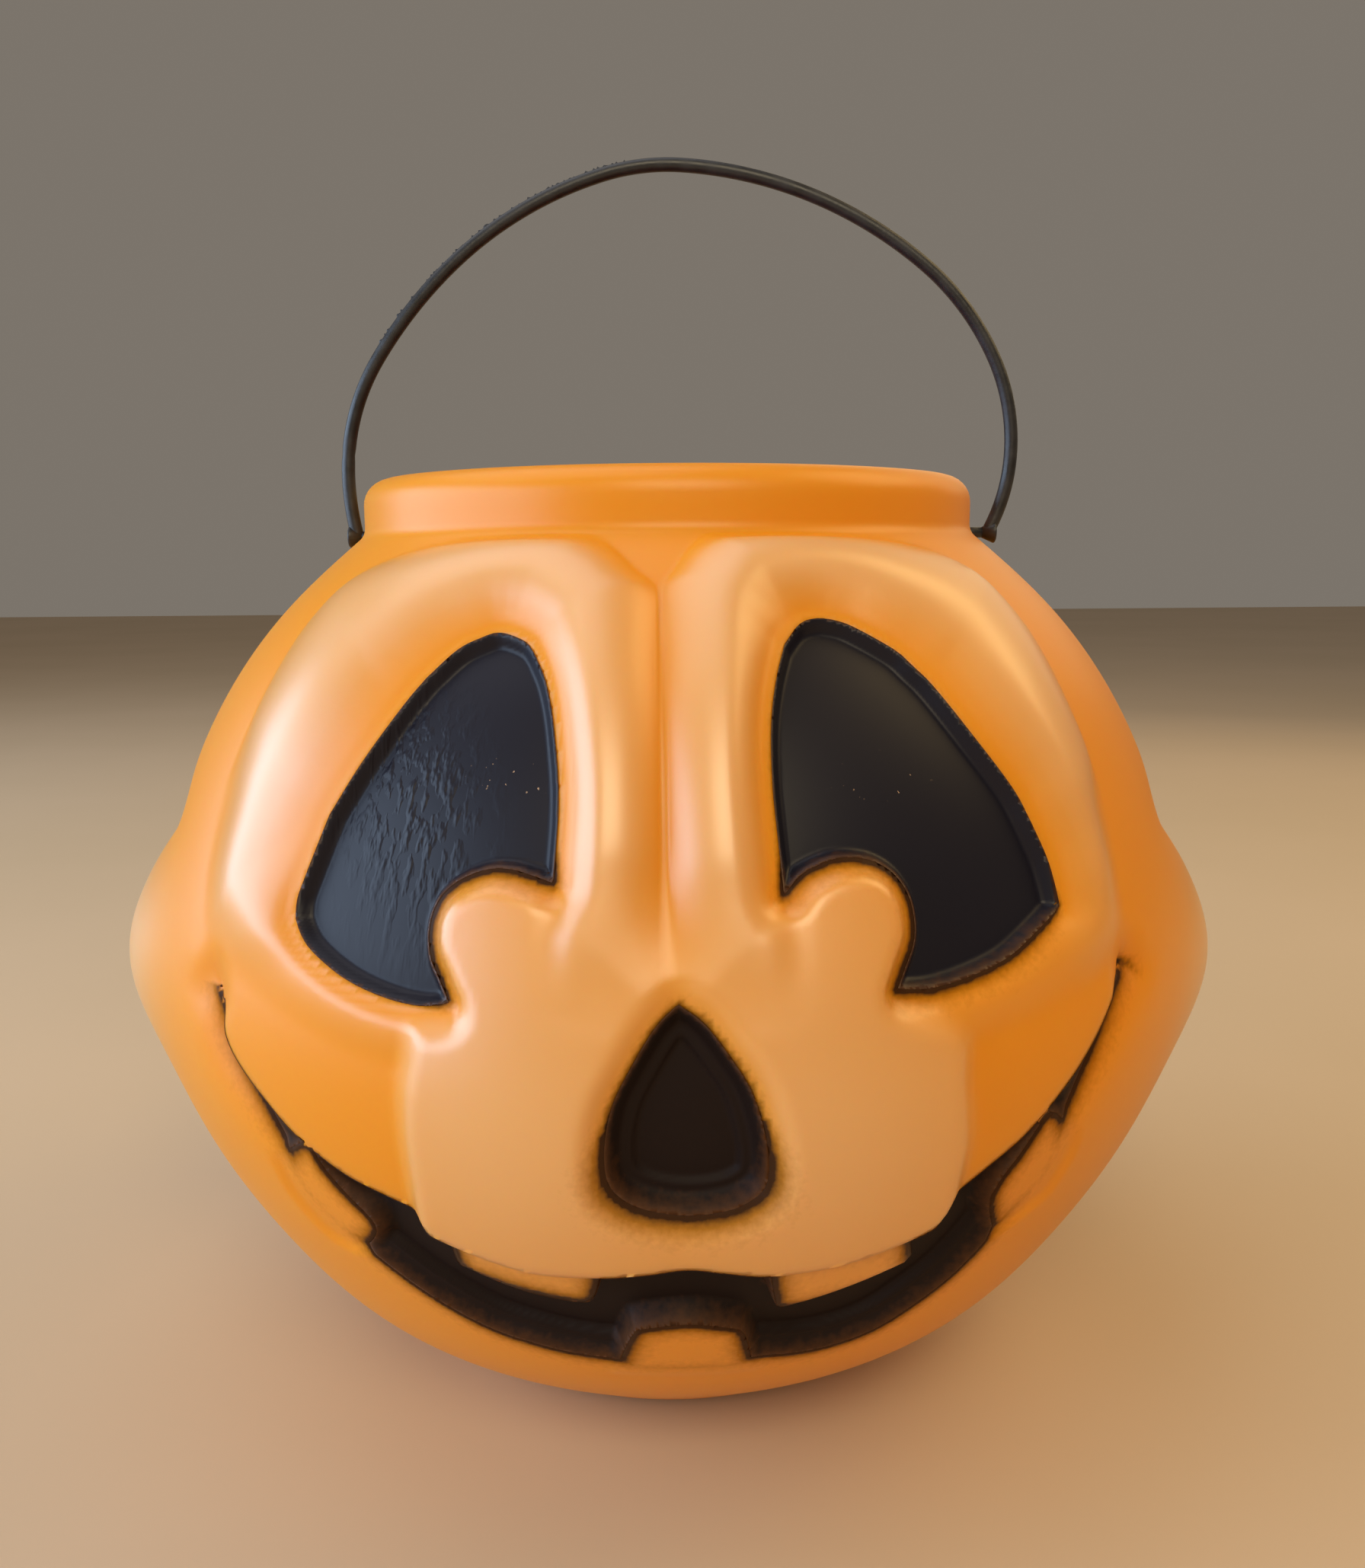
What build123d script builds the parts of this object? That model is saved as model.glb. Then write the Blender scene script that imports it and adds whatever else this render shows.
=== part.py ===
from build123d import *
import os
from math import asin, cos, radians, sin

os.makedirs("parts", exist_ok=True)

# Pumpkin candy pail: a blow-moulded hollow pumpkin with a smiling face, sprayed
# black in its sunken eyes, nose and mouth, and one moulded bail that swings on the neck.
# Millimetres. The pail stands on z = 0 and faces -Y.

# Pumpkin body, floor to the foot of the neck
base_radius = 43.0
body_radius = 104.0
shoulder_height = 166.8
equator_share = 0.5156
wall = 1.5

# Outline of one side of the body, as shares of the swell and the height of each half
lower_profile_shares = [(0.164, 0.076), (0.475, 0.233), (0.73, 0.4535), (0.935, 0.735), (1.0, 1.0)]
upper_profile_shares = [(0.885, 0.322), (0.67, 0.595), (0.37, 0.818)]
base_slope_share = 0.5
shoulder_slope_share = 0.85

# Neck, rolled rim and the opening cut in its top
neck_radius = 61.0
rim_rise = 10.7
rim_rounding = 5.0
rim_width = 7.0

# Cheeks that swell out at the ends of the smile. Places on the face are shares of the body's
# radius across and of its height up.
cheek_radius = 36.0
cheek_swell = 5.0
cheek_angle = 78.0
cheek_up_share = 0.5036

# Two lobes of the muzzle, beside the nose
muzzle_radius = 40.0
muzzle_swell = 3.5
muzzle_share = (0.2019, 0.4736)

# Rolls round the eyes: section, how far they stand out and how far outside the eye they run
roll_radius = 8.0
roll_swell = 3.0
roll_margin = 5.0

# Creases down the back, as on a pumpkin: how many, the turn between them, section and depth
fold_count = 5
fold_spacing = 36.0
fold_radius = 14.0
fold_depth = 1.8
fold_depth_shares = [(0.14, 0.0), (0.24, 0.55), (0.4, 1.0), (0.6, 1.0), (0.78, 0.8), (0.93, 0.0)]

# Sunken face and the paint film on its floor
recess_depth = 2.4
paint_thickness = 0.3
paint_gap = 0.1

# Eyes, in front view: inner edge, lower edge, width and height. The two are not quite alike.
left_eye_share = (-0.1538, 0.5905, -0.4087, 0.3147)
right_eye_share = (0.1442, 0.5965, 0.4423, 0.3177)
left_eye_top_shares = [
    (0.99, 0.175), (0.91, 0.385), (0.74, 0.63), (0.51, 0.865), (0.24, 1.0),
    (0.08, 0.905), (0.02, 0.69), (0.007, 0.49), (0.02, 0.335),
]
left_eye_bite_shares = [(0.02, 0.335), (0.225, 0.37), (0.41, 0.29), (0.46, 0.16), (0.385, 0.006)]
left_eye_floor_share = (0.7, 0.012)
right_eye_top_shares = [
    (1.0, 0.155), (0.955, 0.3), (0.84, 0.5), (0.635, 0.736), (0.445, 0.905), (0.2, 1.0),
    (0.06, 0.93), (0.007, 0.76), (0.0, 0.575), (0.026, 0.277),
]
right_eye_bite_shares = [
    (0.026, 0.277), (0.14, 0.35), (0.263, 0.365), (0.4, 0.295), (0.45, 0.17), (0.387, 0.01),
]
right_eye_floor_share = (0.66, 0.015)

# Nose: a teardrop. Middle, lower edge, half width and height, then half widths up its height
nose_share = (0.0183, 0.4101, 0.1125, 0.1894)
nose_shares = [(0.0, 1.0), (0.5, 0.78), (0.86, 0.52), (1.0, 0.25), (0.72, 0.06), (0.0, 0.0)]

# Mouth: middle, lowest point, half width and height of the smile, then its outline
mouth_share = (0.0, 0.1948, 0.7308, 0.3837)
left_lip_shares = [(-1.0, 1.0), (-0.905, 0.76), (-0.68, 0.55), (-0.43, 0.435)]
left_tooth_shares = [(-0.43, 0.435), (-0.42, 0.36), (-0.16, 0.29), (-0.145, 0.385)]
lip_peak_share = (0.027, 0.42)
right_tooth_shares = [(0.185, 0.375), (0.2, 0.25), (0.475, 0.3), (0.47, 0.42)]
right_lip_shares = [(0.47, 0.42), (0.645, 0.565), (0.83, 0.74), (0.995, 0.985)]
right_line_shares = [(0.995, 0.985), (0.845, 0.705), (0.68, 0.515)]
right_side_tooth_shares = [(0.68, 0.515), (0.665, 0.42), (0.68, 0.325)]
right_chin_shares = [(0.68, 0.325), (0.55, 0.14), (0.355, 0.015), (0.16, 0.02)]
middle_tooth_shares = [(0.16, 0.02), (0.14, 0.14), (0.03, 0.18), (-0.08, 0.155), (-0.117, 0.024)]
left_chin_shares = [(-0.117, 0.024), (-0.355, 0.075), (-0.54, 0.21), (-0.66, 0.33)]
left_side_tooth_shares = [(-0.66, 0.33), (-0.615, 0.41), (-0.6, 0.45)]
left_line_shares = [(-0.6, 0.45), (-0.75, 0.565), (-0.92, 0.735), (-1.0, 1.0)]

# Thicker skin behind each sunken feature, as shares of the feature
eye_back_centre_share = (0.46, 0.5)
eye_back_share = 0.66
nose_back_share = 1.1
mouth_back_under_shares = [
    (-1.06, 1.02), (-0.97, 0.62), (-0.72, 0.2), (-0.36, -0.05), (0.02, -0.11), (0.4, -0.11),
    (0.75, 0.2), (0.97, 0.62), (1.06, 1.02),
]
mouth_back_over_shares = [
    (-0.96, 1.1), (-0.85, 0.85), (-0.55, 0.6), (-0.02, 0.52), (0.5, 0.57), (0.83, 0.85), (0.96, 1.1),
]

# Bail: round rod, its rise over the pivots and how far it bows out past the neck
rod_diameter = 2.7
bail_rise = 72.0
bail_flare = 7.0
left_end_reach = 2.8
right_end_reach = 4.8
left_apex_share = (-0.96, 0.165)
bail_shares = [
    (-0.859, 0.488), (-0.627, 0.744), (-0.178, 0.978), (0.047, 1.001), (0.765, 0.737),
    (0.978, 0.484), (1.034, 0.19),
]

# Feet of the bail: a conical collar over the shoulder, a pivot pin and a snap head inside the neck
end_drop = 0.6
collar_back = 0.9
collar_length = 2.6
collar_taper = 25.0
pin_radius = 1.1
pin_clearance = 0.25
head_radius = 2.1
head_length = 2.2
head_gap = 0.4
head_taper = 20.0

# Steps in which the outline is followed, how closely a place on it is found, and the overrun of cuts
outline_steps = 14
share_tolerance = 1e-6
overrun = 12.0

equator_height = equator_share * shoulder_height
pivot_height = shoulder_height
rim_height = shoulder_height + rim_rise
neck_bore = neck_radius - wall
opening_radius = neck_radius - rim_width


def on_face(share):
    """Sizes in front view from shares of the body's radius across and of its height up."""
    return [part * (body_radius, shoulder_height)[place % 2] for place, part in enumerate(share)]


left_eye_box = on_face(left_eye_share)
right_eye_box = on_face(right_eye_share)
nose_box = on_face(nose_share)
mouth_box = on_face(mouth_share)
muzzle_offset, muzzle_height = on_face(muzzle_share)
cheek_height = cheek_up_share * shoulder_height

# Side outline of the body, from the edge of the base to just inside the neck
lower_points = [
    (base_radius + out * (body_radius - base_radius), up * equator_height)
    for out, up in lower_profile_shares
]
upper_points = [
    (neck_radius + out * (body_radius - neck_radius),
     equator_height + up * (shoulder_height - equator_height))
    for out, up in upper_profile_shares
]
with BuildLine() as side_outline:
    Spline(
        (base_radius, 0),
        *lower_points,
        *upper_points,
        (neck_radius, shoulder_height),
        (neck_bore, shoulder_height + wall * shoulder_slope_share),
        tangents=((1, base_slope_share), (-1, shoulder_slope_share)),
    )
outline = side_outline.line


def inset_point(share, inset):
    """Radius and height on the side outline, moved in by the inset along its normal."""
    point = outline @ share
    along = outline % share
    return point.X - inset * along.Y, point.Y + inset * along.X


def share_at(height):
    """Place along the side outline where it passes a height."""
    low, high = 0, 1
    while high - low > share_tolerance:
        middle = (low + high) / 2
        if (outline @ middle).Y < height:
            low = middle
        else:
            high = middle
    return low


def skin_plane(across, height):
    """Plane that touches the front of the body there, with its normal outwards."""
    share = share_at(height)
    radius = (outline @ share).X
    along = outline % share
    turn = asin(across / radius)
    touch = (across, -radius * cos(turn), height)
    outwards = (along.Y * sin(turn), -along.Y * cos(turn), -along.X)
    return Plane(origin=touch, x_dir=(cos(turn), sin(turn), 0), z_dir=outwards)


def plain_body(inset):
    """The pumpkin without its relief, a turned shape, moved in by the inset."""
    turned_points = [inset_point(step / outline_steps, inset) for step in range(outline_steps + 1)]
    with BuildPart() as body:
        with BuildSketch(Plane.XZ):
            with BuildLine():
                side = Spline(*turned_points)
                Polyline(side @ 1, (0, turned_points[-1][1]), (0, turned_points[0][1]), side @ 0)
            make_face()
        revolve(axis=Axis.Z)
    return body.part


def eye_roll(inner, bottom, width, height, inset):
    """Round roll of skin that rings one eye, moved in by the inset."""
    half_width = abs(width) / 2 + roll_margin
    half_height = height / 2 + roll_margin
    ring_drop = half_width * half_height / (2 * body_radius)
    touching = skin_plane(inner + width / 2, bottom + height / 2)
    with BuildLine(touching.offset(roll_swell - roll_radius - ring_drop)) as ring:
        EllipticalCenterArc((0, 0), half_width, half_height, arc_size=360)
    with BuildPart() as roll:
        with BuildSketch(Plane(origin=ring.line @ 0, z_dir=ring.line % 0)):
            Circle(roll_radius - inset)
        sweep(path=ring.line)
    return roll.part


def back_fold(inset):
    """Rod along the back of the body that cuts one crease in it, moved in by the inset."""
    fold_points = [
        inset_point(share, deep * fold_depth - fold_radius) for share, deep in fold_depth_shares
    ]
    with BuildLine(Plane.YZ) as crease:
        Spline(*fold_points)
    with BuildPart() as fold:
        with BuildSketch(Plane(origin=crease.line @ 0, z_dir=crease.line % 0)):
            Circle(fold_radius + inset)
        sweep(path=crease.line)
    return fold.part


def body_form(inset):
    """The pumpkin with its cheeks, muzzle, eye rolls and folds, moved in by the inset."""
    turned = plain_body(inset)
    rolls = [eye_roll(*eye, inset) for eye in (left_eye_box, right_eye_box)]
    fold = back_fold(inset)
    cheek_out = body_radius + cheek_swell - cheek_radius
    turn = radians(cheek_angle)
    with BuildPart() as form:
        add(turned)
        for side in (-1, 1):
            with Locations((side * cheek_out * sin(turn), -cheek_out * cos(turn), cheek_height)):
                Sphere(cheek_radius - inset)
            touching = skin_plane(side * muzzle_offset, muzzle_height)
            with Locations(touching.offset(muzzle_swell - muzzle_radius)):
                Sphere(muzzle_radius - inset)
        add(rolls)
        for place in range(fold_count):
            turned_by = (place - (fold_count - 1) / 2) * fold_spacing
            add(fold.rotate(Axis.Z, turned_by), mode=Mode.SUBTRACT)
    return form.part


def placed(shares, start, bottom, width, height):
    """Points of an outline in front view from its shares of a box."""
    return [(start + across * width, bottom + up * height) for across, up in shares]


def eye_outline(top_shares, bite_shares, floor_share, box):
    top = placed(top_shares, *box)
    bite = placed(bite_shares, *box)
    floor = placed([floor_share], *box)[0]
    with BuildSketch() as eye:
        with BuildLine():
            Spline(*top)
            Spline(*bite)
            ThreePointArc(bite[-1], floor, top[0])
        make_face()
    return eye.sketch


def nose_outline():
    left = [(-across, up) for across, up in reversed(nose_shares)]
    with BuildSketch() as nose:
        with BuildLine():
            Spline(*placed(nose_shares, *nose_box), *placed(left, *nose_box)[1:])
        make_face()
    return nose.sketch


def mouth_outline():
    curves = [
        left_lip_shares, right_lip_shares, right_line_shares, right_chin_shares,
        left_chin_shares, left_line_shares,
    ]
    teeth = [left_tooth_shares, right_tooth_shares, right_side_tooth_shares, middle_tooth_shares,
             left_side_tooth_shares]

    with BuildSketch() as mouth:
        with BuildLine():
            for shares in curves:
                Spline(*placed(shares, *mouth_box))
            for shares in teeth:
                Polyline(*placed(shares, *mouth_box))
            bow = [left_tooth_shares[-1], lip_peak_share, right_tooth_shares[0]]
            ThreePointArc(*placed(bow, *mouth_box))
        make_face()
    return mouth.sketch


left_eye_shares = (left_eye_top_shares, left_eye_bite_shares, left_eye_floor_share)
right_eye_shares = (right_eye_top_shares, right_eye_bite_shares, right_eye_floor_share)
features = {
    "left_eye_paint": eye_outline(*left_eye_shares, left_eye_box),
    "right_eye_paint": eye_outline(*right_eye_shares, right_eye_box),
    "nose_paint": nose_outline(),
    "mouth_paint": mouth_outline(),
}
front = Plane.XZ.offset(body_radius + overrun)
face_reach = body_radius


def face_backs():
    """Plain outlines that cover each sunken feature from behind, a wall wider than it."""
    with BuildSketch() as backs:
        for box in (left_eye_box, right_eye_box):
            with Locations(placed([eye_back_centre_share], *box)[0]):
                Ellipse(abs(box[2]) * eye_back_share + wall, box[3] * eye_back_share + wall)
        middle, bottom, half_width, height = nose_box
        with Locations((middle, bottom + height / 2)):
            Ellipse(half_width * nose_back_share + wall, height * nose_back_share / 2 + wall)
        with BuildLine():
            under = placed(mouth_back_under_shares, *mouth_box)
            over = placed(mouth_back_over_shares, *mouth_box)
            Spline(*under)
            Spline(*over)
            Line(under[0], over[0])
            Line(under[-1], over[-1])
        make_face()
    return backs.sketch


# Hollow inside: a wall behind the outer skin, and behind the floor of the sunken face
backs = face_backs()
behind_face = plain_body(recess_depth + wall)
with BuildPart() as face_backing:
    with BuildSketch(front):
        add(backs)
    extrude(amount=-face_reach)
    add(behind_face, mode=Mode.SUBTRACT)

inner_form = body_form(wall)
with BuildPart() as hollow:
    add(inner_form)
    add(face_backing.part, mode=Mode.SUBTRACT)
    with BuildSketch(Plane.XZ):
        with BuildLine():
            under_rim = rim_height - wall
            under_edge = rim_height - rim_rounding
            inner_rounding = rim_rounding - wall
            Polyline(
                (neck_radius - rim_rounding, under_rim), (opening_radius, under_rim),
                (opening_radius, rim_height + overrun), (0, rim_height + overrun),
                (0, equator_height), (neck_bore, equator_height), (neck_bore, under_edge),
            )
            RadiusArc((neck_bore, under_edge), (neck_radius - rim_rounding, under_rim), -inner_rounding)
        make_face()
    revolve(axis=Axis.Z)

# Space in front of the floor of the sunken face
face_floor = plain_body(recess_depth)
with BuildPart() as face_space:
    with BuildSketch(front):
        for feature in features.values():
            add(feature)
    extrude(amount=-face_reach)
    add(face_floor, mode=Mode.SUBTRACT)

# Pail: skin, neck and rim, hollowed, with the face sunk in and the two pivot holes
outer_form = body_form(0)
with BuildPart() as pail_shell:
    add(outer_form)
    with BuildSketch(Plane.XZ):
        with BuildLine():
            edge = rim_height - rim_rounding
            Polyline(
                (neck_radius - rim_rounding, rim_height), (0, rim_height), (0, equator_height),
                (neck_radius, equator_height), (neck_radius, edge),
            )
            RadiusArc((neck_radius, edge), (neck_radius - rim_rounding, rim_height), -rim_rounding)
        make_face()
    revolve(axis=Axis.Z)
    add(face_space.part, mode=Mode.SUBTRACT)
    add(hollow.part, mode=Mode.SUBTRACT)
    with BuildSketch(Plane.YZ):
        with Locations((0, pivot_height)):
            Circle(pin_radius + pin_clearance)
    extrude(amount=neck_radius + overrun, both=True, mode=Mode.SUBTRACT)
pail_shell.part.label = "pail_shell"
export_step(pail_shell.part, "parts/pail_shell.step")

# Paint on the floor of each sunken feature
paint_back = plain_body(recess_depth - paint_gap)
paint_face = plain_body(recess_depth - paint_gap - paint_thickness)
for name, feature in features.items():
    with BuildPart() as paint:
        with BuildSketch(front):
            add(feature)
        extrude(amount=-face_reach)
        add(paint_face, mode=Mode.INTERSECT)
        add(paint_back, mode=Mode.SUBTRACT)
    paint.part.label = name
    export_step(paint.part, f"parts/{name}.step")

# Bail: a bent rod with a collar, a pivot pin and a snap head at each end
half_span = neck_radius + bail_flare
end_height = pivot_height - end_drop
left_end = (-neck_radius - left_end_reach, 0, end_height)
right_end = (neck_radius + right_end_reach, 0, end_height)


def on_bail(share):
    """Point on the line of the upright bail."""
    return share[0] * half_span, 0, pivot_height + share[1] * bail_rise


with BuildLine() as bail_line:
    left_apex = on_bail(left_apex_share)
    TangentArc(left_apex, left_end, tangent=(0, 0, -1))
    along = (0, 0, 1)
    start = left_apex
    for point in [on_bail(share) for share in bail_shares] + [right_end]:
        arc = TangentArc(start, point, tangent=along)
        start = arc @ 1
        along = arc % 1

with BuildPart() as bail_handle:
    bail_path = bail_line.wire()
    with BuildSketch(Plane(origin=bail_path @ 0, z_dir=bail_path % 0)):
        Circle(rod_diameter / 2)
    sweep(path=bail_path)
    for end, outward in ((left_end, -1), (right_end, 1)):
        head_seat = neck_bore - head_gap
        collar_start = abs(end[0]) - collar_back
        with BuildSketch(Plane(origin=(outward * collar_start, 0, pivot_height), z_dir=(outward, 0, 0))):
            Circle(pin_radius)
        extrude(amount=collar_length, taper=-collar_taper)
        with BuildSketch(Plane(origin=(outward * head_seat, 0, pivot_height), z_dir=(outward, 0, 0))):
            Circle(pin_radius)
        extrude(amount=abs(end[0]) - head_seat)
        with BuildSketch(Plane(origin=(outward * head_seat, 0, pivot_height), z_dir=(-outward, 0, 0))):
            Circle(head_radius)
        extrude(amount=head_length, taper=head_taper)
bail_handle.part.label = "bail_handle"
export_step(bail_handle.part, "parts/bail_handle.step")
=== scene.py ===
import math

import bpy
import numpy as np
from mathutils import Matrix, Vector


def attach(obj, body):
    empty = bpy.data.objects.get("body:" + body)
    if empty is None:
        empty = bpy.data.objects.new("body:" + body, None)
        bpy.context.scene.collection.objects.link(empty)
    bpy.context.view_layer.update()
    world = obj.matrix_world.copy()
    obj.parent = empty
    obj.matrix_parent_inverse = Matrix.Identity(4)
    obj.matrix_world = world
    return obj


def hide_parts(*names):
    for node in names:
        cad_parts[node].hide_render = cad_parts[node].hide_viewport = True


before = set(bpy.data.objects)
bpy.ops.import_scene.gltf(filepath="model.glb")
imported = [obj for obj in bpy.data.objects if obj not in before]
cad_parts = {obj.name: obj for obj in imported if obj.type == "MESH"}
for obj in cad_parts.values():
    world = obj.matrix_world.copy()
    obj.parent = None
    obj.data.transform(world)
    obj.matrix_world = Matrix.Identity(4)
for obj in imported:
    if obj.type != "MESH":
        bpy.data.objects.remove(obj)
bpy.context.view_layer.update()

# A pumpkin candy pail: orange blow-moulded skin, black paint in its sunken face, black bail.
# Shapes are worked out in millimetres in the frame of the CAD part and stored in metres.
MM = 0.001


def ease(value):
    """Smooth step from 0 to 1."""
    t = np.clip(value, 0.0, 1.0)
    return t * t * (3.0 - 2.0 * t)


def mix(a, b, share):
    return a + (b - a) * share


def bell(distance, spread):
    return np.exp(-(distance / spread) ** 2)


def cubic(points, start, end, count):
    """Smooth curve through points with given end directions, as count points evenly along it."""
    p = np.array(points, float)
    t = np.concatenate([[0.0], np.cumsum(np.linalg.norm(np.diff(p, axis=0), axis=1))])
    n = len(p)
    step = np.diff(t)
    lhs, rhs = np.zeros((n, n)), np.zeros_like(p)
    lhs[0, 0] = lhs[-1, -1] = 1.0
    rhs[0] = np.array(start) / np.linalg.norm(start)
    rhs[-1] = np.array(end) / np.linalg.norm(end)
    slope = np.diff(p, axis=0) / step[:, None]
    for i in range(1, n - 1):
        lhs[i, i - 1:i + 2] = step[i], 2.0 * (step[i - 1] + step[i]), step[i - 1]
        rhs[i] = 3.0 * (step[i] * slope[i - 1] + step[i - 1] * slope[i])
    m = np.linalg.solve(lhs, rhs)
    fine = np.linspace(0.0, t[-1], 4000)
    k = np.clip(np.searchsorted(t, fine, side="right") - 1, 0, n - 2)
    u = ((fine - t[k]) / step[k])[:, None]
    w = step[k][:, None]
    curve = ((2 * u ** 3 - 3 * u ** 2 + 1) * p[k] + (u ** 3 - 2 * u ** 2 + u) * w * m[k]
             + (3 * u ** 2 - 2 * u ** 3) * p[k + 1] + (u ** 3 - u ** 2) * w * m[k + 1])
    along = np.concatenate([[0.0], np.cumsum(np.linalg.norm(np.diff(curve, axis=0), axis=1))])
    even = np.linspace(0.0, along[-1], count)
    return np.stack([np.interp(even, along, curve[:, i]) for i in range(curve.shape[1])], 1)


def through(points, spacing=1.2):
    """Rounded line through a few points, sampled every spacing."""
    p = np.array(points, float)
    padded = np.vstack([2 * p[0] - p[1], p, 2 * p[-1] - p[-2]])
    out = []
    for i in range(1, len(padded) - 2):
        a, b, c, d = padded[i - 1:i + 3]
        n = max(2, int(np.ceil(np.linalg.norm((c - b)[:2]) / spacing)))
        u = (np.arange(n) / n)[:, None]
        out.append(0.5 * (2 * b + (c - a) * u + (2 * a - 5 * b + 4 * c - d) * u ** 2
                          + (3 * b - a - 3 * c + d) * u ** 3))
    return np.vstack(out + [p[-1:]])


# The pumpkin's side outline, as (radius, height)
BODY_R, NECK_R, OPENING_R = 104.0, 61.0, 54.0
SHOULDER_Z, RIM_Z, RIM_ROUND, WALL = 166.8, 177.5, 5.0, 1.5
PROFILE = [(43.0, 0.0), (53.0, 6.5), (72.0, 20.0), (87.5, 39.0), (100.0, 63.2), (BODY_R, 86.0),
           (99.1, 112.0), (89.8, 134.1), (76.9, 152.1), (NECK_R, SHOULDER_Z)]
side = cubic(PROFILE, (1.0, 0.5), (-1.0, 0.85), 1600)
side_length = np.concatenate([[0.0], np.cumsum(np.linalg.norm(np.diff(side, axis=0), axis=1))])
side_total = side_length[-1]


def on_side(s):
    """Radius and height on the outline, and its outward normal, at lengths s along it."""
    r, z = (np.interp(s, side_length, side[:, i]) for i in (0, 1))
    h = 0.5
    dr, dz = (np.interp(s + h, side_length, side[:, i]) - np.interp(s - h, side_length, side[:, i])
              for i in (0, 1))
    size = np.hypot(dr, dz)
    return r, z, dz / size, -dr / size


def on_skin(xz):
    """Points on the front of the plain pumpkin, from places in front view."""
    xz = np.asarray(xz, float)
    r = np.interp(xz[:, 1], side[:, 1], side[:, 0])
    return np.stack([xz[:, 0], -np.sqrt(np.maximum(r ** 2 - xz[:, 0] ** 2, 0.0)), xz[:, 1]], 1)


# Outlines of the face in front view, with x to the right and z up.
# Each run of an eye carries the height of the roll outside it, the share of the roll's width at
# which its crest lies, how far the paint strays past the edge, how sharply the roll ends, and
# whether the muzzle bites into the eye there.
ROLL = {"outer": (3.9, 0.46, 0.0, 1.0, 0.0), "top": (4.3, 0.50, 0.0, 1.0, 0.0),
        "inner": (4.0, 0.44, 0.2, 1.0, 0.0), "bite": (0.0, 0.40, 1.2, 0.0, 1.0),
        "lid": (1.0, 0.30, 0.25, 0.0, 0.0), "lower": (0.8, 0.42, 1.2, 0.0, 0.0),
        "flank": (3.0, 0.46, 0.0, 0.0, 0.0)}
EYES = {
    "left": [
        ("flank", [(-58.1, 107.6), (-57.9, 110.4), (-56.6, 113.9), (-52.8, 123.2)]),
        ("outer", [(-52.8, 123.2), (-47.6, 131.3), (-41.2, 139.9), (-37.8, 143.9)]),
        ("top", [(-37.8, 143.9), (-33.1, 148.1), (-29.5, 149.9), (-26.2, 150.8), (-22.1, 149.5),
                 (-20.5, 147.7)]),
        ("inner", [(-20.5, 147.7), (-18.8, 144.3), (-17.6, 140.0), (-16.8, 134.7), (-16.3, 129.5),
                   (-16.3, 124.3), (-16.9, 116.1)]),
        ("bite", [(-16.9, 116.1), (-19.8, 117.0), (-22.6, 117.7), (-25.5, 117.8), (-28.3, 117.1),
                  (-31.2, 115.7), (-33.5, 113.7), (-35.0, 110.9), (-35.5, 107.7), (-35.1, 104.6),
                  (-33.9, 102.1), (-32.3, 98.8)]),
        ("lid", [(-32.3, 98.8), (-36.8, 97.9), (-42.8, 98.5), (-49.2, 100.3), (-54.7, 103.2),
                 (-56.9, 105.3), (-58.1, 107.6)]),
    ],
    "right": [
        ("flank", [(60.9, 107.7), (60.2, 111.2), (59.0, 115.3), (56.6, 120.6)]),
        ("outer", [(56.6, 120.6), (53.7, 126.0), (47.1, 134.7), (41.3, 142.0), (38.4, 144.9)]),
        ("top", [(38.4, 144.9), (35.5, 147.5), (29.5, 150.9), (26.5, 152.1), (23.2, 152.6),
                 (20.3, 151.8), (17.7, 148.9)]),
        ("inner", [(17.7, 148.9), (16.3, 144.6), (15.3, 139.8), (14.9, 135.0), (14.9, 130.3),
                   (15.1, 126.2), (16.2, 114.2)]),
        ("bite", [(16.2, 114.2), (18.5, 116.7), (21.4, 118.1), (24.2, 118.8), (27.1, 118.7),
                  (30.0, 117.9), (32.8, 116.0), (34.9, 112.9), (35.7, 109.1), (35.4, 106.0),
                  (34.1, 103.0), (32.8, 100.0)]),
        ("lower", [(32.8, 100.0), (38.2, 99.5), (44.4, 100.3), (50.9, 102.0), (56.0, 104.7),
                   (60.9, 107.7)]),
    ],
}
NOSE = [(0.8, 100.0), (4.5, 97.2), (8.2, 92.3), (10.9, 87.8), (12.6, 82.5), (13.5, 76.9),
        (13.0, 72.6), (10.5, 70.2), (7.2, 68.9), (1.7, 68.4), (-3.9, 69.4), (-7.6, 71.4),
        (-9.5, 74.4), (-9.7, 79.9), (-8.5, 85.8), (-5.7, 91.5), (-2.4, 96.8), (0.8, 100.0)]
LIP = [(-75.7, 93.6), (-74.3, 90.6), (-72.3, 84.9), (-69.3, 81.1), (-64.7, 76.9), (-61.2, 73.8),
       (-57.8, 71.4), (-51.3, 67.9), (-45.0, 65.9), (-38.8, 64.0), (-32.7, 61.5), (-21.3, 58.1),
       (-10.9, 57.9), (-4.0, 58.6), (2.2, 59.5), (7.3, 58.7), (14.0, 57.6), (24.8, 58.3), (35.5, 61.0),
       (39.7, 62.7), (42.7, 64.7), (48.9, 68.7), (55.3, 72.8), (62.0, 78.9), (65.5, 82.5),
       (69.2, 87.1), (72.2, 91.4), (76.0, 95.6)]
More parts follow.
